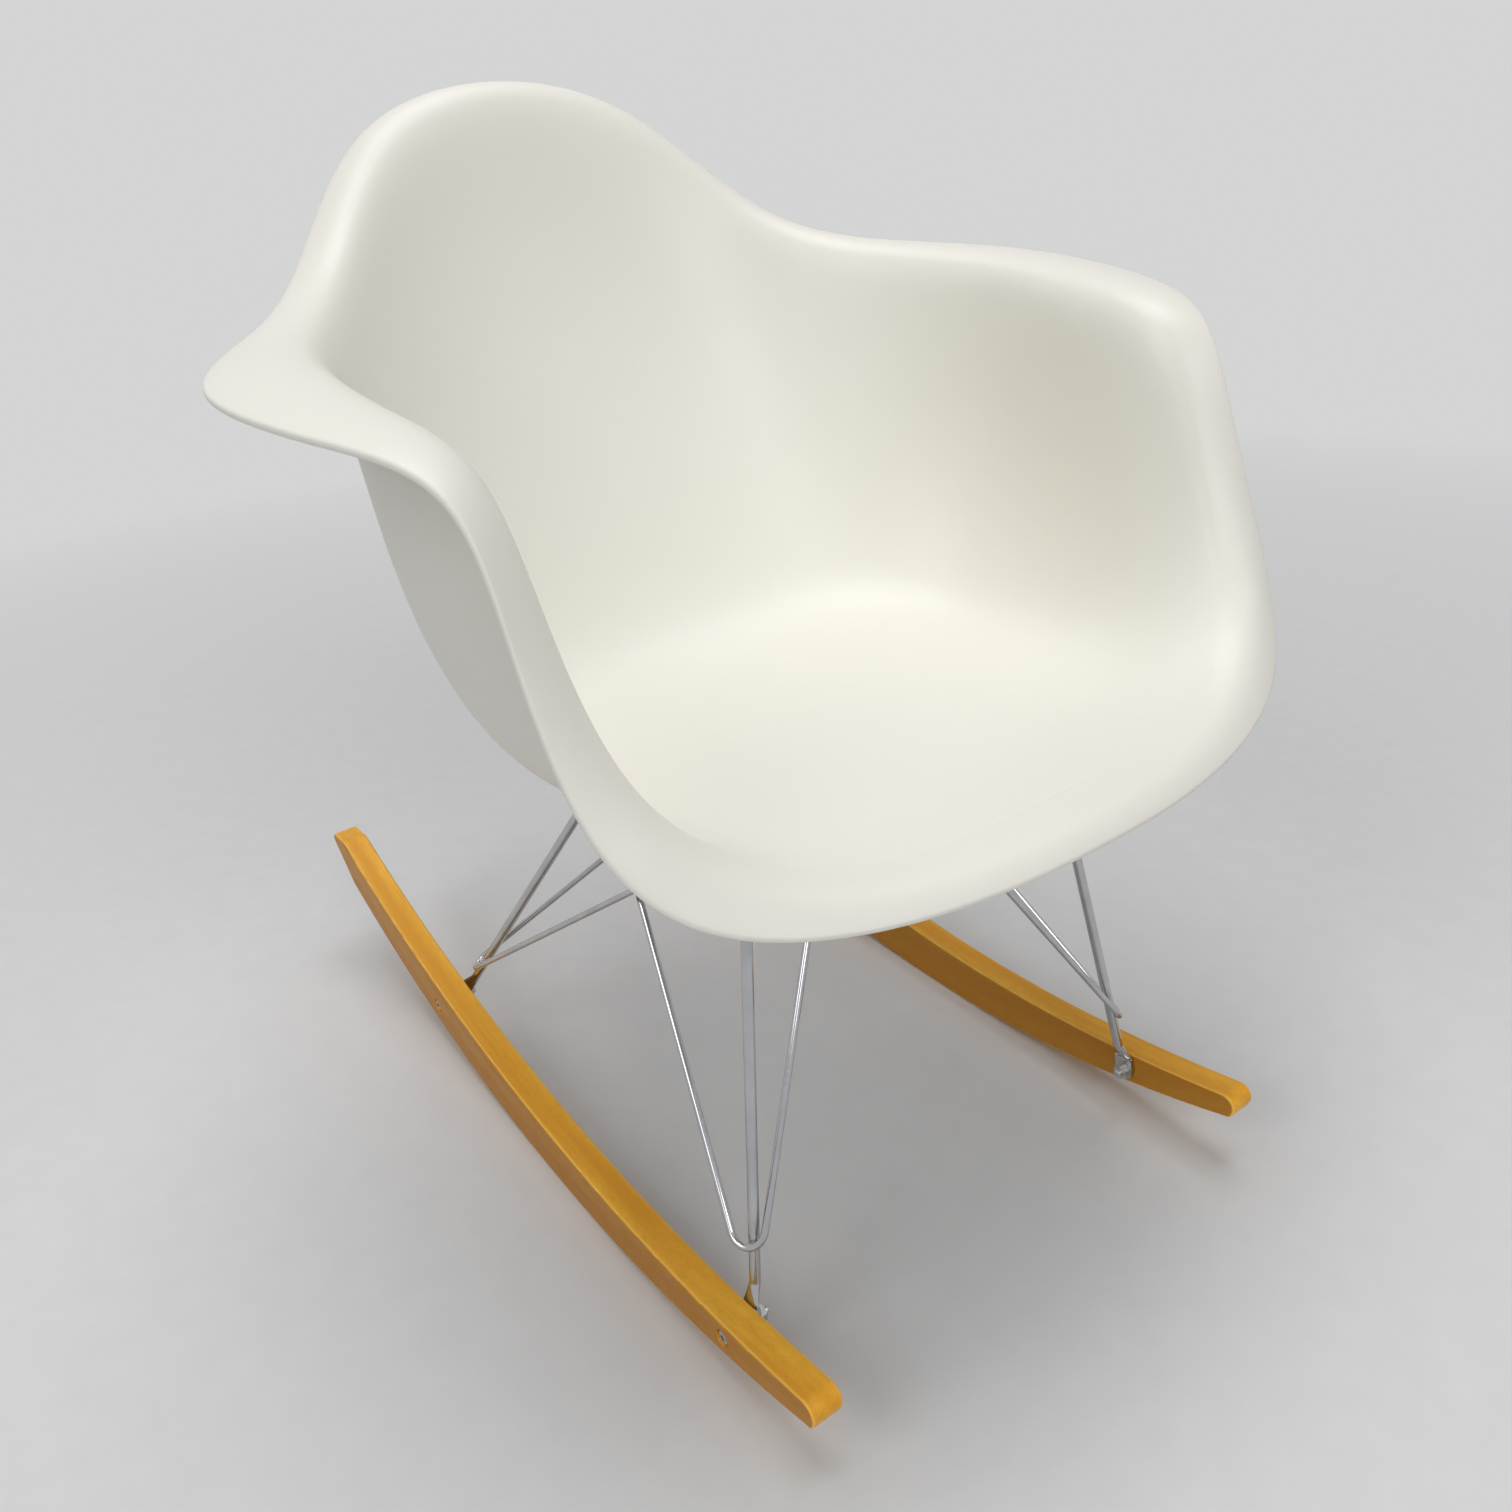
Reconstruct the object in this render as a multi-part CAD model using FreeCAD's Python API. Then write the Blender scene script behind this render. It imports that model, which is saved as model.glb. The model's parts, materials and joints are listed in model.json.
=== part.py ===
import FreeCAD, Part
import math
import os

# A moulded armchair shell on two bent wood rockers, joined by a frame of round steel rod.
# Millimetres. +Z is up, the sitter faces -Y, X = 0 is the plane of symmetry and Z = 0 the floor.
# Everything is drawn with the seat pan level, then the finished chair is rolled a little forward
# on its rockers, to where it rests when empty. There it touches the floor at Y = 0.
# Left is the -X side; right parts are its mirror image.

V = FreeCAD.Vector
UP = V(0, 0, 1)
ALONG_X = V(1, 0, 0)

rest_roll = 1.4

# How far a cutting shape runs past the faces that it cuts
overshoot = 1.0

# Shell
wall = 5.2
pan_y = -75.0
pan_z = 353.0
pan_half_width = 204.0
pan_front_reach = 206.0
pan_back_reach = 158.0
pan_squareness = 2.6
pan_flat_radius = 45.0
pan_level_radius = 85.0
pan_dish_share = 0.72
pan_dish_rise = 0.12
rim_roundness = 2.0 / 3.0

# Rockers
rocker_track = 405.0
rocker_thick = 22.6
rocker_sole_radius = 973.5
rocker_top_radius = 1207.7
rocker_top_centre_y = -43.1
rocker_mid_height = 42.3
rocker_toe_top_y = -336.0
rocker_toe_sole_y = -330.0
rocker_toe_top_round = 9.0
rocker_toe_sole_round = 4.0
rocker_heel_top_y = 372.0
rocker_heel_tip = (410.0, 112.5)
rocker_heel_sole_y = 366.0
rocker_heel_tip_round = 6.0
rocker_edge_round = 2.0

# Frame rods. The rails stand outside the seat mounts, so the leg tops are placed from those.
mount_half_span = 86.0
leg_dia = 7.2
wire_dia = 4.8
rail_dia = 7.2
top_rod_z = 330.0
weld_sink = 0.3
bend_radius_front = 12.0
bend_radius_rear = 8.0
rail_front_y = -196.0
rail_rear_y = 44.0
rod_end_round = 1.0
front_cross_y = -140.0
rear_cross_y = -57.0
diagonal_top_x = 25.0
side_brace_top_y_front = 35.7
side_brace_top_y_rear = -159.0

front_leg_top = (mount_half_span + 41.0, -187.0)
rear_leg_top = (mount_half_span + 19.0, -10.6)
front_bolt = (-240.7, 43.7)
rear_bolt = (188.0, 36.6)
front_weld_z = 94.0
rear_weld_z = 81.0
front_weld_side = V(-0.93, -0.37, 0)
rear_weld_side = V(-0.91, 0.41, 0)

# Flattened rod ends
foot_thick = 4.0
foot_width = 15.0
foot_plate_rise = 11.0
foot_neck_rise = 24.0
leg_side_gap = 0.3

# Rocker fixings
bolt_dia = 6.0
bolt_clearance = 0.3
counterbore_dia = 12.8
counterbore_depth = 4.4
bolt_head_dia = 10.4
bolt_head_height = 2.8
bolt_head_round = 1.9
socket_across_flats = 4.0
socket_depth = 1.6
bolt_stick_out = 3.2
bolt_tip_dome = 1.0
washer_dia = counterbore_dia - 2 * bolt_clearance
washer_thick = 1.0
nut_across_flats = 10.0
nut_height = 5.2
nut_flange_dia = 14.2
nut_flange_thick = 1.5
nut_chamfer = 0.7

# Seat mounts
mount_front_y = -165.0
mount_rear_y = -20.0
boss_dia = 27.0
boss_face_z = 344.0
boss_root_z = 350.6
insert_dia = 9.0
insert_length = 5.6
insert_flange_dia = 12.0
insert_flange_thick = 0.8
ear_thick = 3.0
ear_width = 26.0
ear_sink = 0.6
rubber_dia = 24.0
rubber_waist_dia = 20.0
rubber_rim_share = 0.35
mount_screw_dia = 6.0
mount_screw_end_gap = 0.6
mount_head_across_flats = 10.0
mount_head_height = 4.0
mount_washer_dia = 16.0

# Half of the shell's control cage, from the front centre round the left side to the back centre.
# angle: direction of the station seen from the middle of the pan, 0 = front
# x, y, z: point that draws the rim out; roll, rise: from there in and up to the crest of the roll
# lean, drop: from the crest in and down the wall; heel: height of the wall's foot above the pan
# bulge: how far the middle of the wall swells outward
# All but the angle are in station units.
station_unit = 1.0
STATIONS = [
    dict(angle=0, x=0, y=-340, z=365, roll=18, rise=17, lean=33, drop=6, heel=20, bulge=12),
    dict(angle=15, x=-102, y=-332, z=362, roll=20, rise=17, lean=32, drop=7, heel=20, bulge=12),
    dict(angle=31, x=-205, y=-304, z=371, roll=31, rise=18, lean=28, drop=11, heel=19, bulge=13),
    dict(angle=48, x=-257, y=-262, z=407, roll=28, rise=30, lean=17, drop=22, heel=18, bulge=9),
    dict(angle=63, x=-261, y=-214, z=506, roll=27, rise=27, lean=9, drop=49, heel=22, bulge=4),
    dict(angle=76, x=-259, y=-186, z=586, roll=42, rise=12, lean=7, drop=52, heel=18, bulge=9),
    dict(angle=90, x=-297, y=-118, z=595, roll=60, rise=14, lean=10, drop=44, heel=12, bulge=22),
    dict(angle=106, x=-328, y=3, z=603, roll=79, rise=19, lean=11, drop=38, heel=12, bulge=22),
    dict(angle=124, x=-266, y=90, z=610, roll=39, rise=10, lean=12, drop=38, heel=22, bulge=10),
    dict(angle=143, x=-196, y=200, z=617, roll=35, rise=11, lean=12, drop=29, heel=27, bulge=11),
    dict(angle=162, x=-120, y=267, z=720, roll=32, rise=4, lean=12, drop=55, heel=28, bulge=12),
    dict(angle=180, x=0, y=277, z=745, roll=24, rise=6, lean=10, drop=57, heel=28, bulge=12),
]

# Derived values
rocker_outer_x = -rocker_track / 2
rocker_inner_x = rocker_outer_x + rocker_thick
rocker_top_centre_z = rocker_mid_height + math.sqrt(rocker_top_radius ** 2 - rocker_top_centre_y ** 2)
bolt_hole_dia = bolt_dia + 2 * bolt_clearance
foot_x = rocker_inner_x + foot_thick / 2
rail_top_z = top_rod_z + rail_dia / 2
ear_bottom_z = rail_top_z - ear_sink
ear_top_z = ear_bottom_z + ear_thick
mount_hole_dia = mount_screw_dia + 2 * bolt_clearance


def mirrored(shape):
    return shape.mirror(V(0, 0, 0), ALONG_X)


def export(name, shape):
    if shape.ShapeType != "Solid" and len(shape.Solids) == 1:
        shape = shape.Solids[0]
    shape = shape.copy()
    shape.rotate(V(0, 0, rocker_sole_radius), ALONG_X, rest_roll)
    shape.exportStep("parts/" + name + ".step")


def export_pair(name, shape):
    export(name + "_left", shape)
    export(name + "_right", mirrored(shape))


def rod(start, end, dia):
    span = end - start
    return Part.makeCylinder(dia / 2, span.Length, start, span)


def tube(outer_dia, inner_dia, start, length, direction):
    outer = Part.makeCylinder(outer_dia / 2, length, start, direction)
    inner = Part.makeCylinder(inner_dia / 2, length + 2 * overshoot, start - direction * overshoot,
                             direction)
    return outer.cut(inner)


def hexagon_prism(across_flats, start, length, direction, side):
    corner = across_flats / 2 / math.cos(math.radians(30))
    other = direction.cross(side)
    points = []
    for k in range(7):
        turn = math.radians(60 * k)
        points.append(start + side * (corner * math.cos(turn)) + other * (corner * math.sin(turn)))
    return Part.Face(Part.makePolygon(points)).extrude(direction * length)


# Shell
def pan_foot(angle):
    across = math.sin(angle)
    ahead = math.cos(angle)
    reach = pan_front_reach if ahead > 0 else pan_back_reach
    share = abs(across / pan_half_width) ** pan_squareness + abs(ahead / reach) ** pan_squareness
    radius = share ** (-1 / pan_squareness)
    return V(-radius * across, pan_y - radius * ahead, pan_z)


def station_column(s):
    angle = math.radians(s["angle"])
    size = {key: value * station_unit for key, value in s.items() if key != "angle"}
    middle = V(0, pan_y, pan_z)
    heading = V(-math.sin(angle), -math.cos(angle), 0)
    edge = pan_foot(angle)
    rim = V(size["x"], size["y"], size["z"])
    inward = V(edge.x - rim.x, edge.y - rim.y, 0)
    inward.normalize()
    foot = edge + UP * size["heel"]
    dish = middle + (edge - middle) * pan_dish_share + UP * (pan_dish_rise * size["heel"])
    crest = rim + inward * size["roll"] + UP * size["rise"]
    brow = crest + inward * size["lean"] - UP * size["drop"]
    lip = rim - crest
    lip.normalize()
    skin_edge = rim - lip * (wall / 2)
    belly = (foot + brow) * 0.5 - inward * size["bulge"]
    column = [middle + heading * pan_flat_radius, middle + heading * pan_level_radius]
    column += [dish, foot, belly, brow, crest, skin_edge]
    if s["angle"] in (0, 180):
        column = [V(0, p.y, p.z) for p in column]
    return column


def seat_cage():
    half = [station_column(s) for s in STATIONS]
    other = [[V(-p.x, p.y, p.z) for p in column] for column in half[-2:0:-1]]
    return half + other


def thickened(cage, depth):
    count = len(cage)
    rows = len(cage[0])
    result = []
    for i in range(count):
        before = cage[i - 1]
        after = cage[(i + 1) % count]
        column = []
        for j in range(rows):
            around = after[j] - before[j]
            outward = cage[i][min(j + 1, rows - 1)] - cage[i][max(j - 1, 0)]
            normal = outward.cross(around)
            normal.normalize()
            if j < 2:
                normal = -UP
            column.append(cage[i][j] + normal * depth)
        result.append(column)
    return result


def skin(cage):
    count = len(cage)
    rows = len(cage[0])
    surface = Part.BSplineSurface()
    around_knots = list(range(count + 1))
    along_knots = list(range(rows - 2))
    along_mults = [4] + [1] * (rows - 4) + [4]
    surface.buildFromPolesMultsKnots(cage, [1] * (count + 1), along_mults, around_knots,
                                     along_knots, True, False, 3, 3)
    return surface


def band(first, second, handles_first, handles_second):
    cage = [[a, b, c, d] for a, b, c, d in zip(first, handles_first, handles_second, second)]
    return skin(cage)


def make_shell():
    inner = seat_cage()
    outer = thickened(inner, wall)
    inner_rim = [column[-1] for column in inner]
    outer_rim = [column[-1] for column in outer]
    inner_handles = []
    outer_handles = []
    for a, b in zip(inner, outer):
        outward = a[-1] - a[-2]
        outward.normalize()
        inner_handles.append(a[-1] + outward * (wall * rim_roundness))
        outer_handles.append(b[-1] + outward * (wall * rim_roundness))
    inner_face = skin(inner).toShape()
    outer_face = skin(outer).toShape()
    rim_face = band(inner_rim, outer_rim, inner_handles, outer_handles).toShape()
    faces = [inner_face, outer_face, rim_face]
    for face, height in ((inner_face, pan_z), (outer_face, pan_z - wall)):
        ring = [e for e in face.Edges if abs(e.BoundBox.ZMax - height) < 0.01
                and e.BoundBox.ZLength < 0.01]
        faces.append(Part.Face(Part.Wire(ring)))
    shell = Part.makeShell(faces)
    shell.sewShape()
    body = Part.makeSolid(shell)
    if body.Volume < 0:
        body.reverse()
    return body


def mount_points():
    return [("front", V(-mount_half_span, mount_front_y, 0)),
            ("rear", V(-mount_half_span, mount_rear_y, 0))]


def make_seat():
    body = make_shell()
    bosses = []
    bores = []
    for _, point in mount_points():
        for side in (-1, 1):
            base = V(-side * point.x, point.y, boss_face_z)
            boss = Part.makeCylinder(boss_dia / 2, boss_root_z - boss_face_z, base, UP)
            bosses.append(boss)
            bores.append(Part.makeCylinder(insert_dia / 2, insert_length, base, UP))
            bores.append(Part.makeCylinder(insert_flange_dia / 2, insert_flange_thick, base, UP))
    return body.fuse(bosses).cut(bores).removeSplitter()


# Rockers
def sole_z(y):
    return rocker_sole_radius - math.sqrt(rocker_sole_radius ** 2 - y ** 2)


def top_z(y):
    return rocker_top_centre_z - math.sqrt(rocker_top_radius ** 2 - (y - rocker_top_centre_y) ** 2)


def profile_point(y, z):
    return V(rocker_outer_x, y, z)


def rocker_arc(height_at, start_y, end_y):
    ends = [profile_point(y, height_at(y)) for y in (start_y, (start_y + end_y) / 2, end_y)]
    return Part.Arc(ends[0], ends[1], ends[2]).toShape()


def rounded_corners(solid, corners):
    for y, z, radius in corners:
        for edge in solid.Edges:
            box = edge.BoundBox
            upright = box.XLength > rocker_thick - 0.1
            if upright and abs(box.YMin - y) < 0.05 and abs(box.ZMin - z) < 0.05:
                solid = solid.makeFillet(radius, [edge])
                break
    return solid


def make_rocker_blank():
    toe_top = profile_point(rocker_toe_top_y, top_z(rocker_toe_top_y))
    toe_sole = profile_point(rocker_toe_sole_y, sole_z(rocker_toe_sole_y))
    heel_top = profile_point(rocker_heel_top_y, top_z(rocker_heel_top_y))
    heel_sole = profile_point(rocker_heel_sole_y, sole_z(rocker_heel_sole_y))
    tip = profile_point(rocker_heel_tip[0], rocker_heel_tip[1])
    edges = [
        rocker_arc(sole_z, rocker_toe_sole_y, rocker_heel_sole_y),
        Part.makeLine(heel_sole, tip),
        Part.makeLine(tip, heel_top),
        rocker_arc(top_z, rocker_heel_top_y, rocker_toe_top_y),
        Part.makeLine(toe_top, toe_sole),
    ]
    outline = Part.Face(Part.Wire(edges))
    blank = outline.extrude(ALONG_X * rocker_thick)
    blank = rounded_corners(blank, [
        (toe_top.y, toe_top.z, rocker_toe_top_round),
        (toe_sole.y, toe_sole.z, rocker_toe_sole_round),
        (tip.y, tip.z, rocker_heel_tip_round),
    ])
    sides = []
    for edge in blank.Edges:
        if edge.BoundBox.XLength < 0.01:
            sides.append(edge)
    return blank.makeFillet(rocker_edge_round, sides)


def make_rocker():
    body = make_rocker_blank()
    for y, z in (front_bolt, rear_bolt):
        start = V(rocker_outer_x, y, z)
        body = body.cut(Part.makeCylinder(bolt_hole_dia / 2, rocker_thick, start, ALONG_X))
        body = body.cut(Part.makeCylinder(counterbore_dia / 2, counterbore_depth, start, ALONG_X))
    return body


def make_washer(y, z):
    start = V(rocker_outer_x + counterbore_depth - washer_thick, y, z)
    return tube(washer_dia, bolt_hole_dia, start, washer_thick, ALONG_X)


def nut_seat_x():
    return rocker_inner_x + foot_thick


def make_bolt(y, z):
    head_x = rocker_outer_x + counterbore_depth - washer_thick
    tip_x = nut_seat_x() + nut_height + bolt_stick_out
    head = Part.makeCylinder(bolt_head_dia / 2, bolt_head_height, V(head_x, y, z), V(-1, 0, 0))
    rim = [e for e in head.Edges if abs(e.BoundBox.XMin - (head_x - bolt_head_height)) < 0.01
           and e.BoundBox.XLength < 0.01]
    head = head.makeFillet(bolt_head_round, rim)
    shank = Part.makeCylinder(bolt_dia / 2, tip_x - head_x, V(head_x, y, z), ALONG_X)
    end = [e for e in shank.Edges if abs(e.BoundBox.XMin - tip_x) < 0.01
           and e.BoundBox.XLength < 0.01]
    shank = shank.makeFillet(bolt_tip_dome, end)
    socket = hexagon_prism(socket_across_flats, V(head_x - bolt_head_height, y, z), socket_depth,
                           ALONG_X, UP)
    return head.fuse(shank).removeSplitter().cut(socket)


def make_nut(y, z):
    seat = V(nut_seat_x(), y, z)
    flange = Part.makeCylinder(nut_flange_dia / 2, nut_flange_thick, seat, ALONG_X)
    body = hexagon_prism(nut_across_flats, seat, nut_height, ALONG_X, UP)
    cone_height = nut_across_flats / 2 + nut_height
    cone = Part.makeCone(nut_across_flats / 2 + nut_height + nut_chamfer, nut_chamfer,
                         cone_height, seat, ALONG_X)
    body = body.common(cone)
    bore = Part.makeCylinder(bolt_dia / 2, nut_height + 2 * overshoot, seat - ALONG_X * overshoot,
                             ALONG_X)
    return flange.fuse(body).cut(bore)


# Frame
def leg_points(bolt, top):
    foot = V(foot_x, bolt[0], bolt[1])
    head = V(-top[0], top[1], top_rod_z)
    start = V(rocker_inner_x + leg_dia / 2 + leg_side_gap, bolt[0], bolt[1])
    way = head - start
    neck = start + way * (foot_neck_rise / way.z)
    return foot, neck, head


def rail_axis(y):
    share = (y - front_leg_top[1]) / (rear_leg_top[1] - front_leg_top[1])
    return V(-(front_leg_top[0] + (rear_leg_top[0] - front_leg_top[0]) * share), y, top_rod_z)


def make_rail():
    start = rail_axis(rail_front_y)
    end = rail_axis(rail_rear_y)
    bar = rod(start, end, rail_dia)
    ends = [e for e in bar.Edges if e.BoundBox.YLength < 1.5]
    return bar.makeFillet(rod_end_round, ends)


def make_leg(bolt, top, rail):
    foot, neck, head = leg_points(bolt, top)
    shank = rod(neck, head, leg_dia)
    way = V(0, neck.y - foot.y, neck.z - foot.z)
    way.normalize()
    across = ALONG_X.cross(way)
    flat_top = foot + way * foot_plate_rise
    plate = Part.makeCylinder(foot_width / 2, foot_thick, V(rocker_inner_x, foot.y, foot.z), ALONG_X)
    corners = [foot - across * (foot_width / 2), flat_top - across * (foot_width / 2),
               flat_top + across * (foot_width / 2), foot + across * (foot_width / 2)]
    corners = [V(rocker_inner_x, p.y, p.z) for p in corners]
    strap = Part.Face(Part.makePolygon(corners + corners[:1])).extrude(ALONG_X * foot_thick)
    flat = Part.Ellipse(flat_top + across * (foot_width / 2), flat_top + ALONG_X * (foot_thick / 2),
                        flat_top)
    round_end = Part.Circle(neck, head - neck, leg_dia / 2)
    neck_piece = Part.makeLoft([Part.Wire(flat.toShape()), Part.Wire(round_end.toShape())], True)
    body = plate.fuse([strap, neck_piece, shank])
    hole = Part.makeCylinder(bolt_hole_dia / 2, foot_thick + 2 * overshoot,
                             V(rocker_inner_x - overshoot, foot.y, foot.z), ALONG_X)
    return body.cut([hole, rail])


def weld_point(bolt, top, weld_z, side):
    _, neck, head = leg_points(bolt, top)
    way = head - neck
    on_leg = neck + way * ((weld_z - neck.z) / way.z)
    way.normalize()
    out = side - way * side.dot(way)
    out.normalize()
    return on_leg + out * ((leg_dia + wire_dia) / 2 - weld_sink)


def brace_path(bend_middle, first_top, second_top, radius):
    apex = bend_middle
    for _ in range(30):
        first = first_top - apex
        second = second_top - apex
        first.normalize()
        second.normalize()
        spread = first.getAngle(second) / 2
        centre_line = first + second
        centre_line.normalize()
        apex = bend_middle - centre_line * (radius / math.sin(spread) - radius)
    reach = radius / math.tan(spread)
    bend_start = apex + first * reach
    bend_end = apex + second * reach
    return Part.Wire([
        Part.makeLine(first_top, bend_start),
        Part.Arc(bend_start, bend_middle, bend_end).toShape(),
        Part.makeLine(bend_end, second_top),
    ])


def make_brace(path, cutters):
    start = path.Vertexes[0].Point
    towards = path.Vertexes[1].Point - start
    ring = Part.Wire(Part.Circle(start, towards, wire_dia / 2).toShape())
    wire = path.makePipeShell([ring], True, False)
    return wire.cut(cutters)


def make_cross(y, cutters):
    left = rail_axis(y)
    return rod(left, V(-left.x, y, top_rod_z), rail_dia).cut(cutters)


# Seat mounts
def make_ear(point, rail):
    root = rail_axis(point.y)
    length = point.x - root.x
    base = V(root.x, point.y, ear_bottom_z)
    plate = Part.makeBox(length, ear_width, ear_thick, base - V(0, ear_width / 2, 0))
    nose = Part.makeCylinder(ear_width / 2, ear_thick, V(point.x, point.y, ear_bottom_z), UP)
    hole = Part.makeCylinder(mount_hole_dia / 2, ear_thick + 2 * overshoot,
                             V(point.x, point.y, ear_bottom_z - overshoot), UP)
    return plate.fuse(nose).removeSplitter().cut([hole, rail])


def make_rubber(point):
    half = (boss_face_z - ear_top_z) / 2
    axis_point = V(point.x, point.y, ear_top_z)
    inner = mount_hole_dia / 2
    corners = [(inner, 0), (rubber_dia / 2, 0), (rubber_dia / 2, half * rubber_rim_share),
               (rubber_waist_dia / 2, half), (rubber_dia / 2, half * (2 - rubber_rim_share)),
               (rubber_dia / 2, half * 2), (inner, half * 2)]
    points = [axis_point + V(r, 0, h) for r, h in corners]
    return Part.Face(Part.makePolygon(points + points[:1])).revolve(axis_point, UP, 360)


def make_insert(point):
    base = V(point.x, point.y, boss_face_z)
    sleeve = Part.makeCylinder(insert_dia / 2, insert_length, base, UP)
    flange = Part.makeCylinder(insert_flange_dia / 2, insert_flange_thick, base, UP)
    bore = Part.makeCylinder(mount_screw_dia / 2, insert_length + 2 * overshoot, base - UP * overshoot,
                            UP)
    return sleeve.fuse(flange).cut(bore)


def make_mount_washer(point):
    start = V(point.x, point.y, ear_bottom_z - washer_thick)
    return tube(mount_washer_dia, mount_hole_dia, start, washer_thick, UP)


def make_mount_screw(point):
    head_z = ear_bottom_z - washer_thick
    shank_length = boss_face_z + insert_length - mount_screw_end_gap - head_z
    base = V(point.x, point.y, head_z)
    shank = Part.makeCylinder(mount_screw_dia / 2, shank_length, base, UP)
    head = hexagon_prism(mount_head_across_flats, base - UP * mount_head_height, mount_head_height,
                         UP, ALONG_X)
    return head.fuse(shank)


def main():
    os.makedirs("parts", exist_ok=True)
    rail = make_rail()
    rails = [rail, mirrored(rail)]
    front_leg = make_leg(front_bolt, front_leg_top, rail)
    rear_leg = make_leg(rear_bolt, rear_leg_top, rail)
    front_cross = make_cross(front_cross_y, rails)
    rear_cross = make_cross(rear_cross_y, rails)
    front_path = brace_path(
        weld_point(front_bolt, front_leg_top, front_weld_z, front_weld_side),
        rail_axis(side_brace_top_y_front),
        V(-diagonal_top_x, front_cross_y, top_rod_z), bend_radius_front)
    rear_path = brace_path(
        weld_point(rear_bolt, rear_leg_top, rear_weld_z, rear_weld_side),
        rail_axis(side_brace_top_y_rear),
        V(-diagonal_top_x, rear_cross_y, top_rod_z), bend_radius_rear)

    export("seat_shell", make_seat())
    export_pair("rocker", make_rocker())
    export_pair("top_rail", rail)
    export_pair("front_leg", front_leg)
    export_pair("rear_leg", rear_leg)
    export_pair("front_brace", make_brace(front_path, [front_leg, rear_leg, rail, front_cross]))
    export_pair("rear_brace", make_brace(rear_path, [rear_leg, rail, rear_cross]))
    export("front_cross_rod", front_cross)
    export("rear_cross_rod", rear_cross)
    for place, point in mount_points():
        export_pair("mount_ear_" + place, make_ear(point, rail))
        export_pair("mount_rubber_" + place, make_rubber(point))
        export_pair("mount_insert_" + place, make_insert(point))
        export_pair("mount_washer_" + place, make_mount_washer(point))
        export_pair("mount_screw_" + place, make_mount_screw(point))
    for place, bolt in (("front", front_bolt), ("rear", rear_bolt)):
        export_pair("rocker_bolt_" + place, make_bolt(bolt[0], bolt[1]))
        export_pair("rocker_washer_" + place, make_washer(bolt[0], bolt[1]))
        export_pair("rocker_nut_" + place, make_nut(bolt[0], bolt[1]))


main()
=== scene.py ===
import json
import math

import bmesh
import bpy
import numpy as np
from mathutils import Matrix, Vector
from mathutils.bvhtree import BVHTree


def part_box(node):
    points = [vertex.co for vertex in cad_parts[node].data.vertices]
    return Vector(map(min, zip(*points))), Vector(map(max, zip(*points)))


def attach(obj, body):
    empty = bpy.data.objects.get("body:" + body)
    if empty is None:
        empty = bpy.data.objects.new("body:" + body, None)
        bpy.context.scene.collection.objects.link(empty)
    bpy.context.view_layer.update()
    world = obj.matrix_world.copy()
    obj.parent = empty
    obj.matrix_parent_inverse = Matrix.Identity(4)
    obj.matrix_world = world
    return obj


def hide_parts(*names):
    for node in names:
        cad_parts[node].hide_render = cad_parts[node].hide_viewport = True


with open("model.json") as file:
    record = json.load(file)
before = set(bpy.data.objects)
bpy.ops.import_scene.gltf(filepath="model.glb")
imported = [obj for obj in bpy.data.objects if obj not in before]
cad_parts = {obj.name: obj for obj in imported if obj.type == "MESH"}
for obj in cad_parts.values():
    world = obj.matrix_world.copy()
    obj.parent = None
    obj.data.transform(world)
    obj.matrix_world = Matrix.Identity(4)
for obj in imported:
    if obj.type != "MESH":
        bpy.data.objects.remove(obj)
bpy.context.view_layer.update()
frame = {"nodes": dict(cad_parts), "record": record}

# Lengths are in metres and angles in degrees, where nothing else is said.
NOT_ZERO = 1e-9  # keeps a division from failing

# Camera, from the photograph's two parallel rockers and the shell's mirror-symmetric rim
PHOTO_PIXELS = 1512
FOCAL_PIXELS = 1265.7
SENSOR_MM = 36.0
CAMERA_PLACE = Vector((-0.4691, -0.6868, 0.7086))
CAMERA_AZIMUTH = -34.587
CAMERA_ELEVATION = 26.718
CAMERA_ROLL = -4.07
CAMERA_NEAREST = 0.05

# Soft front lip: the grid that it is worked out on, and how far its change reaches
LIP_STEP = 0.005
LIP_HALF_WIDTH = 0.30
LIP_FRONT = -0.35
LIP_BACK = -0.06
LIP_CAST_HEIGHT = 0.8
LIP_SOFTNESS = 0.024
LIP_RIM_FADE = (0.004, 0.020)
LIP_BACK_FADE = (-0.255, -0.175)
LIP_SIDE_FADE = (0.235, 0.275)
CELL_BLUR = 1.0  # cells
BESIDE_SHARE = 0.05  # least blurred share of shell in an empty cell that counts as beside it

# Weld beads
WELD_RADIUS = 0.0008
WELD_SPACING = 0.0003
WELD_SIDES = 8
WELD_LEAST_RINGS = 12
WELD_RIPPLE = 0.18  # share of the radius
WELD_RIPPLE_LENGTH = 0.0011
SAME_POINT = 1e-6
CONTACT_REACH = 0.00006
SMALLEST_LOOP = 6  # points

# Bolt threads
BOLT_RADIUS = 0.003
THREAD_PITCH = 0.001
THREAD_HEIGHT = 0.00022
THREAD_SINK = 0.00005
THREAD_FLANK = THREAD_PITCH * 0.42
THREAD_START_GAP = THREAD_PITCH * 0.2
THREAD_BOTH_GAPS = THREAD_PITCH * 0.9
THREAD_STEPS = 28  # in a turn
THREAD_RUNOUT = 10  # steps

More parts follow.
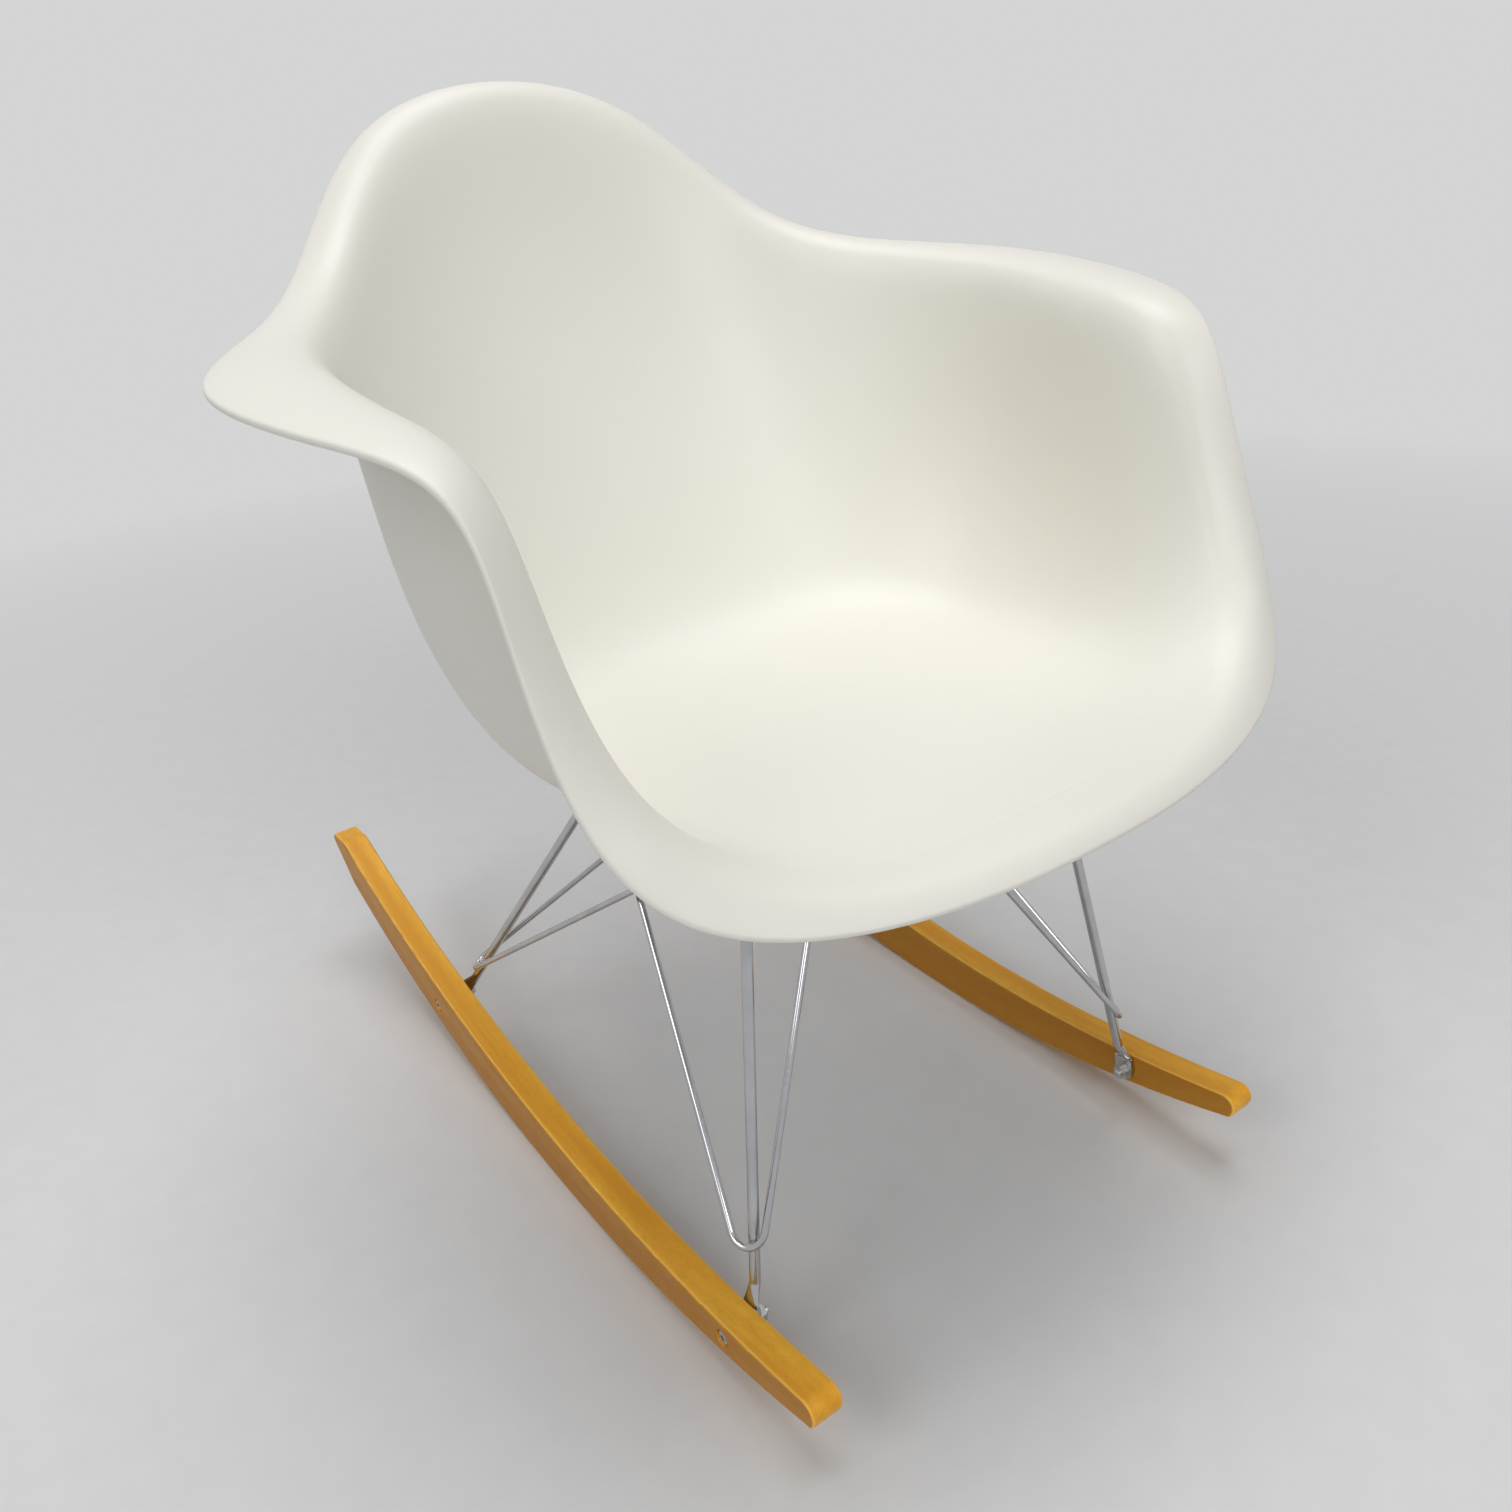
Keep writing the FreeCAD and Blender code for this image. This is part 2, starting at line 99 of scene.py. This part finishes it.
# Colours
SHELL_WHITE = (0.815, 0.80, 0.725, 1)
SHELL_SHADE = (0.79, 0.77, 0.70, 1)
WOOD_LIGHT = (1.0, 0.525, 0.046, 1)
WOOD_DARK = (0.80, 0.35, 0.022, 1)
# Painted shade for the rocker's sides, partly the browner tone of side grain
WOOD_SIDE_PAINTED_SHADE = (0.42, 0.155, 0.006, 1)
# Painted highlight for the rounded edges between top and sides
WOOD_EDGE_HIGHLIGHT = (1.0, 0.66, 0.16, 1)
WOOD_PORE = (0.42, 0.15, 0.010, 1)
CHROME_TINT = (0.54, 0.545, 0.56, 1)
CHROME_HAZE = (0.46, 0.465, 0.48, 1)
ZINC_TINT = (0.62, 0.62, 0.60, 1)
ZINC_SHADE = (0.48, 0.47, 0.44, 1)
BRASS_TINT = (0.78, 0.57, 0.25, 1)
BRASS_SHADE = (0.62, 0.42, 0.16, 1)
RUBBER_BLACK = (0.022, 0.022, 0.023, 1)
RUBBER_BLOOM = (0.05, 0.05, 0.052, 1)

# Materials
ROCKER_ARC_RADIUS = 0.9735
NOISE_RANGE = (0.3, 0.7)  # which holds nearly all of a noise texture's values

# Studio
FLOOR_PALE = (0.74, 0.74, 0.745, 1)
FLOOR_SHADE = (0.72, 0.72, 0.725, 1)
FLOOR_RADIUS = 30.0
FLOOR_SIDES = 96
BACKDROP_PALE = (0.66, 0.66, 0.665, 1)
BACKDROP_FADE = (0.7, 2.4)  # distances from the middle of the floor
SKY_TINT = (0.75, 0.76, 0.78, 1)
SKY_STRENGTH = 0.2
# Name, place, the point that it faces, width and height, and watts
SOFTBOXES = (
    ("overhead", (0.2, 0.3, 4.2), (0, 0, 0.3), (2.6, 2.6), 88),
    ("left_high", (-3.2, -0.5, 3.0), (0, 0, 0.4), (1.6, 2.2), 36),
    ("front_top", (-0.7, -3.9, 3.0), (0, 0, 0.4), (2.2, 1.8), 62),
)


# Node helpers
class Nodes:
    """A material's or world's node tree, with short ways to add and join nodes."""

    def __init__(self, owner):
        """Takes a world, or the name of a material to make."""
        if isinstance(owner, str):
            owner = bpy.data.materials.new(owner)
        owner.use_nodes = True
        self.owner = owner
        self.tree = owner.node_tree
        self.shader = self.tree.nodes.get("Principled BSDF")

    def add(self, kind, **settings):
        node = self.tree.nodes.new(kind)
        for key, value in settings.items():
            setattr(node, key, value)
        return node

    def join(self, source, target):
        self.tree.links.new(source, target)

    def feed(self, socket, value):
        """Joins another node's output to the socket, or sets the socket to a constant."""
        if isinstance(value, (int, float, tuple)):
            socket.default_value = value
        else:
            self.join(value, socket)

    def put(self, **values):
        """Sets constants on the shader itself."""
        for key, value in values.items():
            self.shader.inputs[key.replace("_", " ")].default_value = value

    def place(self):
        return self.add("ShaderNodeTexCoord").outputs["Object"]

    def noise(self, vector, scale=1.0, detail=3.0, roughness=0.5):
        node = self.add("ShaderNodeTexNoise")
        node.inputs["Scale"].default_value = scale
        node.inputs["Detail"].default_value = detail
        node.inputs["Roughness"].default_value = roughness
        self.join(vector, node.inputs["Vector"])
        return node.outputs["Fac"]

    def stretch(self, vector, factors):
        node = self.add("ShaderNodeMapping")
        node.inputs["Scale"].default_value = factors
        self.join(vector, node.inputs["Vector"])
        return node.outputs["Vector"]

    def split(self, vector):
        node = self.add("ShaderNodeSeparateXYZ")
        self.join(vector, node.inputs[0])
        return node.outputs

    def math(self, operation, first, second=None):
        node = self.add("ShaderNodeMath", operation=operation)
        self.feed(node.inputs[0], first)
        if second is not None:
            self.feed(node.inputs[1], second)
        return node.outputs[0]

    def remap(self, value, source=NOISE_RANGE, target=(0, 1)):
        node = self.add("ShaderNodeMapRange")
        for socket, number in zip(node.inputs[1:5], (*source, *target)):
            socket.default_value = number
        self.join(value, node.inputs[0])
        return node.outputs[0]

    def mix(self, factor, first, second):
        node = self.add("ShaderNodeMix", data_type="RGBA")
        self.feed(node.inputs[0], factor)
        self.feed(node.inputs[6], first)
        self.feed(node.inputs[7], second)
        return node.outputs[2]

    def tint(self, value, first, second, source=NOISE_RANGE, most=1):
        """Blends the second colour in as the value crosses the source range."""
        return self.mix(self.remap(value, source, (0, most)), first, second)

    def blend(self, share, first, second, output):
        """Mixes two shaders by share and sends the result to the named output node."""
        node = self.add("ShaderNodeMixShader")
        self.join(share, node.inputs[0])
        self.join(first.outputs[0], node.inputs[1])
        self.join(second.outputs[0], node.inputs[2])
        self.join(node.outputs[0], self.tree.nodes[output].inputs["Surface"])

    def bump(self, height, strength, distance, below=None):
        node = self.add("ShaderNodeBump")
        node.inputs["Strength"].default_value = strength
        node.inputs["Distance"].default_value = distance
        self.join(height, node.inputs["Height"])
        if below is not None:
            self.join(below, node.inputs["Normal"])
        return node.outputs["Normal"]

    def colour(self, socket):
        self.join(socket, self.shader.inputs["Base Color"])

    def rough(self, socket):
        self.join(socket, self.shader.inputs["Roughness"])

    def normal(self, socket):
        self.join(socket, self.shader.inputs["Normal"])


# Materials
def shell_material():
    """Satin plastic, slightly clouded, with a faint ripple and a fine grain."""
    m = Nodes("shell_plastic")
    place = m.place()
    cloud = m.noise(place, scale=3.5, detail=2.0)
    m.colour(m.tint(cloud, SHELL_WHITE, SHELL_SHADE, source=(0.35, 0.65)))
    smudge = m.noise(place, scale=14.0, detail=4.0, roughness=0.6)
    m.rough(m.remap(smudge, target=(0.40, 0.47)))
    grain = m.noise(place, scale=500.0, detail=2.0)
    ripple = m.noise(place, scale=60.0, detail=1.0)
    rippled = m.bump(ripple, strength=0.05, distance=0.0004)
    m.normal(m.bump(grain, strength=0.05, distance=0.00005, below=rippled))
    m.put(IOR=1.49, Specular_IOR_Level=0.5)
    return m.owner


def along_rocker(m):
    """Coordinates that follow the bent wood: across, along the arc, and out from its centre."""
    x, y, z = m.split(m.place())
    drop = m.math("SUBTRACT", ROCKER_ARC_RADIUS, z)
    angle = m.math("ARCTAN2", y, drop)
    arc = m.math("MULTIPLY", angle, ROCKER_ARC_RADIUS)
    out = m.math("SQRT", m.math("ADD", m.math("POWER", y, 2.0), m.math("POWER", drop, 2.0)))
    joined = m.add("ShaderNodeCombineXYZ")
    for socket, value in zip(joined.inputs, (x, arc, out)):
        m.join(value, socket)
    return joined.outputs[0]


def wood_material():
    """Lacquered maple with its grain along the bend, painted shade darkening the sides and a
    painted highlight lightening the edges.
    """
    m = Nodes("maple_wood")
    place = along_rocker(m)
    board = m.noise(m.stretch(place, (60, 1.6, 60)), roughness=0.55)
    figure = m.noise(m.stretch(place, (25, 14, 25)), detail=4.0, roughness=0.6)
    fibre = m.noise(m.stretch(place, (900, 9, 900)), detail=4.0, roughness=0.65)
    pores = m.noise(m.stretch(place, (2600, 55, 2600)), detail=2.0, roughness=0.6)
    fleck = m.noise(m.stretch(place, (170, 60, 170)), detail=4.0, roughness=0.62)
    speck = m.noise(place, scale=520.0, detail=2.0, roughness=0.6)

    tone = m.tint(board, WOOD_LIGHT, WOOD_DARK, source=(0.38, 0.66))
    tone = m.tint(figure, tone, WOOD_DARK, source=(0.45, 0.72), most=0.4)
    tone = m.tint(fleck, tone, WOOD_DARK, source=(0.5, 0.72), most=0.6)
    tone = m.tint(fibre, tone, WOOD_DARK, source=(0.5, 0.75), most=0.55)
    tone = m.tint(speck, tone, WOOD_PORE, source=(0.62, 0.75), most=0.3)
    tone = m.tint(pores, tone, WOOD_PORE, source=(0.6, 0.75), most=0.4)

    facing = m.split(m.add("ShaderNodeNewGeometry").outputs["Normal"])
    sideways = m.math("ABSOLUTE", facing["X"])
    # Painted shade: faces turned sideways are mixed towards the darker side brown, as the sides
    # lie darker under the lamps than the top
    tone = m.tint(sideways, tone, WOOD_SIDE_PAINTED_SHADE, source=(0.75, 0.97), most=0.72)
    # Painted highlight: the rounded edges between the top and the sides are lightened where the
    # lamps catch them, in a strength that varies with the fleck noise
    past_top = m.remap(sideways, (0.12, 0.45))
    before_side = m.remap(sideways, (0.6, 0.93), (1, 0))
    edge = m.math("MULTIPLY", past_top, before_side)
    painted_edge_highlight = m.math("MULTIPLY", edge, m.remap(fleck, target=(0.25, 0.7)))
    m.colour(m.mix(painted_edge_highlight, tone, WOOD_EDGE_HIGHLIGHT))

    m.rough(m.remap(fleck, target=(0.40, 0.52)))
    m.normal(m.bump(fibre, strength=0.10, distance=0.0003))
    m.put(Coat_Weight=0.08, Coat_Roughness=0.3, IOR=1.45, Specular_IOR_Level=0.3)
    return m.owner


def chrome_material():
    m = Nodes("polished_chrome")
    place = m.place()
    haze = m.noise(place, scale=45.0)
    m.colour(m.tint(haze, CHROME_TINT, CHROME_HAZE))
    m.rough(m.remap(haze, target=(0.05, 0.11)))
    m.normal(m.bump(m.noise(place, scale=400.0, detail=2.0), strength=0.03, distance=0.0002))
    m.put(Metallic=1.0)
    return m.owner


def zinc_material():
    m = Nodes("bright_zinc")
    spangle = m.noise(m.place(), scale=700.0, detail=4.0, roughness=0.65)
    m.colour(m.tint(spangle, ZINC_TINT, ZINC_SHADE))
    m.rough(m.remap(spangle, target=(0.22, 0.36)))
    m.normal(m.bump(spangle, strength=0.08, distance=0.0001))
    m.put(Metallic=1.0)
    return m.owner


def brass_material():
    m = Nodes("turned_brass")
    turning = m.noise(m.stretch(m.place(), (200, 200, 5000)), detail=2.0)
    m.colour(m.tint(turning, BRASS_TINT, BRASS_SHADE))
    m.rough(m.remap(turning, target=(0.22, 0.38)))
    m.normal(m.bump(turning, strength=0.1, distance=0.0001))
    m.put(Metallic=1.0)
    return m.owner


def rubber_material():
    m = Nodes("black_rubber")
    place = m.place()
    bloom = m.noise(place, scale=160.0, detail=4.0, roughness=0.6)
    m.colour(m.tint(bloom, RUBBER_BLACK, RUBBER_BLOOM, source=(0.4, 0.75)))
    m.rough(m.remap(bloom, target=(0.62, 0.8)))
    m.normal(m.bump(m.noise(place, scale=1200.0), strength=0.15, distance=0.0002))
    return m.owner


def seen_directly(m):
    """1 for rays that show a surface or its reflection, and 0 for those that only light it."""
    paths = m.add("ShaderNodeLightPath").outputs
    seen = m.math("MAXIMUM", paths["Is Camera Ray"], paths["Is Glossy Ray"])
    return m.math("MAXIMUM", seen, paths["Is Transmission Ray"])


def floor_material():
    """A matt floor that turns, away from the object, into the backdrop's even tone."""
    m = Nodes("pale_floor")
    m.put(Roughness=0.85, Specular_IOR_Level=0.2)
    place = m.place()
    speckle = m.noise(place, scale=35.0)
    m.colour(m.tint(speckle, FLOOR_PALE, FLOOR_SHADE))
    away = m.add("ShaderNodeVectorMath", operation="LENGTH")
    m.join(place, away.inputs[0])
    distant = m.remap(away.outputs["Value"], BACKDROP_FADE)
    glow = m.add("ShaderNodeEmission")
    glow.inputs["Color"].default_value = BACKDROP_PALE
    share = m.math("MULTIPLY", seen_directly(m), distant)
    m.blend(share, m.shader, glow, "Material Output")
    return m.owner


MATERIALS = {
    "shell": shell_material(),
    "wood": wood_material(),
    "chromed_rod": chrome_material(),
    "fastener": zinc_material(),
    "rubber": rubber_material(),
    "brass": brass_material(),
}


def dress_cad_nodes():
    slots = {s["node"]: s["material_slot"] for s in frame["record"]["subparts"]}
    for name, obj in frame["nodes"].items():
        obj.data.materials.clear()
        obj.data.materials.append(MATERIALS[slots[name]])


# Mesh helpers
def add_piece(name, bm, slot):
    """Turns a bmesh, which is freed, into a smooth piece that rides on the chair."""
    mesh = bpy.data.meshes.new(name)
    bmesh.ops.recalc_face_normals(bm, faces=bm.faces)
    bm.to_mesh(mesh)
    bm.free()
    for polygon in mesh.polygons:
        polygon.use_smooth = True
    mesh.materials.append(MATERIALS[slot])
    obj = bpy.data.objects.new(name, mesh)
    bpy.context.scene.collection.objects.link(obj)
    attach(obj, "root")
    return obj


def welded_copy(node):
    """A bmesh of a CAD node with its doubled points joined."""
    bm = bmesh.new()
    bm.from_mesh(frame["nodes"][node].data)
    bmesh.ops.remove_doubles(bm, verts=bm.verts, dist=SAME_POINT)
    return bm


# Soft front lip
def blurred(grid, sigma):
    """A Gaussian blur of a grid, one axis after the other. Sigma is in cells."""
    reach = int(3 * sigma)
    kernel = np.exp(-0.5 * (np.arange(-reach, reach + 1) / sigma) ** 2)
    kernel /= kernel.sum()
    for axis in (0, 1):
        grid = np.apply_along_axis(np.convolve, axis, grid, kernel, "same")
    return grid


def fade(value, low, high):
    """0 up to low, 1 from high on, and smooth in between."""
    share = np.clip((value - low) / (high - low), 0.0, 1.0)
    return share * share * (3 - 2 * share)


def heights_from_above(bm, xs, ys):
    """The height of the first surface under each point of a grid, or nan where there is none."""
    tree = BVHTree.FromBMesh(bm)
    heights = np.full((len(xs), len(ys)), np.nan)
    for i, x in enumerate(xs):
        for j, y in enumerate(ys):
            hit = tree.ray_cast(Vector((x, y, LIP_CAST_HEIGHT)), Vector((0, 0, -1)))[0]
            if hit is not None:
                heights[i, j] = hit.z
    return heights


def gaps_to_rim(inside, grid_x, grid_y):
    """How far each point of a grid lies from the cells just outside the shell's outline."""
    beside = ~inside & (blurred(inside.astype(float), CELL_BLUR) > BESIDE_SHARE)
    rim = np.stack([grid_x[beside], grid_y[beside]], axis=1)
    points = np.stack([grid_x.ravel(), grid_y.ravel()], axis=1)
    gaps = np.linalg.norm(points[:, None, :] - rim[None, :, :], axis=2)
    return gaps.min(axis=1).reshape(inside.shape)


def front_lip_shift(bm, xs, ys):
    """How far the front lip rises or sinks at each point of a grid, to roll over more softly."""
    heights = heights_from_above(bm, xs, ys)
    inside = np.isfinite(heights)
    filled = np.where(inside, heights, 0.0)
    sigma = LIP_SOFTNESS / LIP_STEP
    shares = np.maximum(blurred(inside.astype(float), sigma), NOT_ZERO)
    smooth = blurred(filled, sigma) / shares
    grid_x, grid_y = np.meshgrid(xs, ys, indexing="ij")
    weight = fade(gaps_to_rim(inside, grid_x, grid_y), *LIP_RIM_FADE)
    weight = weight * (1 - fade(grid_y, *LIP_BACK_FADE))
    weight = weight * (1 - fade(np.abs(grid_x), *LIP_SIDE_FADE))
    shift = np.where(inside, (smooth - filled) * weight, 0.0)
    return blurred(shift, CELL_BLUR)


def add_soft_shell():
    """The shell with a softer front lip.

    The inner and outer skin move together, so the wall keeps its thickness.
    """
    bm = welded_copy("seat_shell")
    xs = np.arange(-LIP_HALF_WIDTH, LIP_HALF_WIDTH + LIP_STEP / 2, LIP_STEP)
    ys = np.arange(LIP_FRONT, LIP_BACK, LIP_STEP)
    shift = front_lip_shift(bm, xs, ys)
    for vertex in bm.verts:
        column = (vertex.co.x - xs[0]) / LIP_STEP
        row = (vertex.co.y - ys[0]) / LIP_STEP
        if not (0 <= column < len(xs) - 1 and 0 <= row < len(ys) - 1):
            continue
        i = int(column)
        j = int(row)
        u = column - i
        v = row - j
        corners = shift[i:i + 2, j:j + 2]
        vertex.co.z += float(np.array((1 - u, u)) @ corners @ np.array((1 - v, v)))
    shell = add_piece("soft_lipped_shell", bm, "shell")
    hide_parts("seat_shell")


# Weld beads
def contact_border(bm, other):
    """Which points lie side by side round the patches where a mesh touches another node."""
    near = BVHTree.FromBMesh(welded_copy(other))
    touching = {v for v in bm.verts if near.find_nearest(v.co, CONTACT_REACH)[0] is not None}
    patch = {f for f in bm.faces if all(v in touching for v in f.verts)}
    border = {}
    for edge in bm.edges:
        if sum(f in patch for f in edge.link_faces) == 1:
            a, b = edge.verts
            border.setdefault(a, []).append(b)
            border.setdefault(b, []).append(a)
    return border


def contact_loops(node, other):
    """Closed outlines of the patches where a node's faces lie on another node."""
    bm = welded_copy(node)
    border = contact_border(bm, other)
    loops = []
    while border:
        start = next(iter(border))
        loop = [start]
        here = start
        while border.get(here):
            following = border[here].pop()
            border[following].remove(here)
            if not border[here]:
                del border[here]
            here = following
            if here is start:
                break
            loop.append(here)
        border = {point: beside for point, beside in border.items() if beside}
        if len(loop) >= SMALLEST_LOOP:
            loops.append([v.co.copy() for v in loop])
    bm.free()
    return loops


def resampled(loop, spacing):
    """Points at even steps round a closed loop."""
    points = loop + loop[:1]
    lengths = [(b - a).length for a, b in zip(points, points[1:])]
    count = max(WELD_LEAST_RINGS, int(sum(lengths) / spacing))
    step = sum(lengths) / count
    result = []
    travelled = 0.0
    wanted = 0.0
    for a, b, length in zip(points, points[1:], lengths):
        while wanted < travelled + length and len(result) < count:
            result.append(a.lerp(b, (wanted - travelled) / max(length, NOT_ZERO)))
            wanted += step
        travelled += length
    return result


def add_bead(bm, loop):
    """A weld bead: a round seam swept round the loop, with the ripples of a weld."""
    count = len(loop)
    centre = sum(loop, Vector()) / count
    turns = [2 * math.pi * k / WELD_SIDES for k in range(WELD_SIDES)]
    rings = []
    for i, point in enumerate(loop):
        along = (loop[(i + 1) % count] - loop[i - 1]).normalized()
        out = (point - centre).normalized()
        side = along.cross(out).normalized()
        out = side.cross(along)
        phase = i * 2 * math.pi * (loop[1] - loop[0]).length / WELD_RIPPLE_LENGTH
        radius = WELD_RADIUS * (1 + WELD_RIPPLE * math.sin(phase))
        ring = [point + (out * math.cos(t) + side * math.sin(t)) * radius for t in turns]
        rings.append([bm.verts.new(place) for place in ring])
    for i in range(count):
        first = rings[i]
        second = rings[(i + 1) % count]
        for k in range(WELD_SIDES):
            n = (k + 1) % WELD_SIDES
            bm.faces.new((first[k], first[n], second[n], second[k]))


def welded_pairs(side):
    """Each node that is welded on one side of the frame, and the node that it is welded to."""
    rail = "top_rail_" + side
    front_brace = "front_brace_" + side
    rear_brace = "rear_brace_" + side
    return (
        ("front_leg_" + side, rail),
        ("rear_leg_" + side, rail),
        (front_brace, rail),
        (rear_brace, rail),
        (front_brace, "front_leg_" + side),
        (front_brace, "rear_leg_" + side),
        (rear_brace, "rear_leg_" + side),
        (front_brace, "front_cross_rod"),
        (rear_brace, "rear_cross_rod"),
        ("front_cross_rod", rail),
        ("rear_cross_rod", rail),
        ("mount_ear_front_" + side, rail),
        ("mount_ear_rear_" + side, rail),
    )


def add_welds():
    for node, other in welded_pairs("left") + welded_pairs("right"):
        bm = bmesh.new()
        for loop in contact_loops(node, other):
            add_bead(bm, resampled(loop, WELD_SPACING))
        if bm.verts:
            add_piece("weld_" + node + "_to_" + other, bm, "chromed_rod")
        else:
            bm.free()


# Bolt threads
def add_ridge(bm, start, axis, length):
    """A V-shaped thread ridge round the end of a bolt, which runs out at both ends."""
    side = axis.orthogonal().normalized()
    other = axis.cross(side)
    steps = int(length / THREAD_PITCH * THREAD_STEPS)
    foot = BOLT_RADIUS - THREAD_SINK
    rows = []
    for i in range(steps + 1):
        turn = 2 * math.pi * i / THREAD_STEPS
        out = side * math.cos(turn) + other * math.sin(turn)
        here = start + axis * (THREAD_PITCH * i / THREAD_STEPS)
        share = min(1.0, i / THREAD_RUNOUT, (steps - i) / THREAD_RUNOUT)
        rows.append([
            bm.verts.new(here - axis * THREAD_FLANK + out * foot),
            bm.verts.new(here + out * (foot + THREAD_HEIGHT * share)),
            bm.verts.new(here + axis * THREAD_FLANK + out * foot),
        ])
    for a, b in zip(rows, rows[1:]):
        bm.faces.new((a[0], a[1], b[1], b[0]))
        bm.faces.new((a[1], a[2], b[2], b[1]))


def add_threads():
    """A thread on each rocker bolt, from its nut's inner face to the bolt's end."""
    for end in ("front", "rear"):
        for side, inward in (("left", Vector((1, 0, 0))), ("right", Vector((-1, 0, 0)))):
            bolt_low, bolt_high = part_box("rocker_bolt_" + end + "_" + side)
            nut_low, nut_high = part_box("rocker_nut_" + end + "_" + side)
            nut_face = nut_high.x if side == "left" else nut_low.x
            bolt_tip = bolt_high.x if side == "left" else bolt_low.x
            middle = (bolt_low + bolt_high) / 2
            start = Vector((nut_face, middle.y, middle.z)) + inward * THREAD_START_GAP
            bm = bmesh.new()
            add_ridge(bm, start, inward, abs(bolt_tip - nut_face) - THREAD_BOTH_GAPS)
            add_piece("thread_" + end + "_" + side, bm, "fastener")


# Studio
def add_stage():
    """A wide round floor, seen against the pale world."""
    bm = bmesh.new()
    bmesh.ops.create_circle(bm, cap_ends=True, segments=FLOOR_SIDES, radius=FLOOR_RADIUS)
    mesh = bpy.data.meshes.new("studio_floor")
    bm.to_mesh(mesh)
    bm.free()
    mesh.materials.append(floor_material())
    floor = bpy.data.objects.new("studio_floor", mesh)
    bpy.context.scene.collection.objects.link(floor)


def add_lights():
    for name, place, target, size, watts in SOFTBOXES:
        light = bpy.data.lights.new(name, "AREA")
        light.shape = "RECTANGLE"
        light.size, light.size_y = size
        light.energy = watts
        lamp = bpy.data.objects.new(name, light)
        lamp.location = place
        aim = Vector(target) - Vector(place)
        lamp.rotation_euler = aim.to_track_quat("-Z", "Y").to_euler()
        bpy.context.scene.collection.objects.link(lamp)


def add_world():
    """A dim even sky for light, which looks as pale as the backdrop."""
    world = bpy.data.worlds.new("studio")
    m = Nodes(world)
    sky = m.tree.nodes["Background"]
    sky.inputs["Color"].default_value = SKY_TINT
    sky.inputs["Strength"].default_value = SKY_STRENGTH
    backdrop = m.add("ShaderNodeBackground")
    backdrop.inputs["Color"].default_value = BACKDROP_PALE
    m.blend(seen_directly(m), sky, backdrop, "World Output")
    bpy.context.scene.world = world


def add_camera():
    """A camera where the photograph was taken from."""
    data = bpy.data.cameras.new("photo_view")
    data.sensor_width = SENSOR_MM
    data.lens = FOCAL_PIXELS / PHOTO_PIXELS * SENSOR_MM
    data.clip_start = CAMERA_NEAREST
    camera = bpy.data.objects.new("photo_view", data)
    turn = Matrix.Rotation(math.radians(CAMERA_AZIMUTH), 4, "Z")
    tilt = Matrix.Rotation(math.radians(90 - CAMERA_ELEVATION), 4, "X")
    roll = Matrix.Rotation(math.radians(CAMERA_ROLL), 4, "Z")
    camera.matrix_world = Matrix.Translation(CAMERA_PLACE) @ turn @ tilt @ roll
    bpy.context.scene.collection.objects.link(camera)
    bpy.context.scene.camera = camera


dress_cad_nodes()
add_soft_shell()
add_welds()
add_threads()
add_stage()
add_lights()
add_world()
add_camera()
bpy.context.scene.view_settings.view_transform = "Standard"
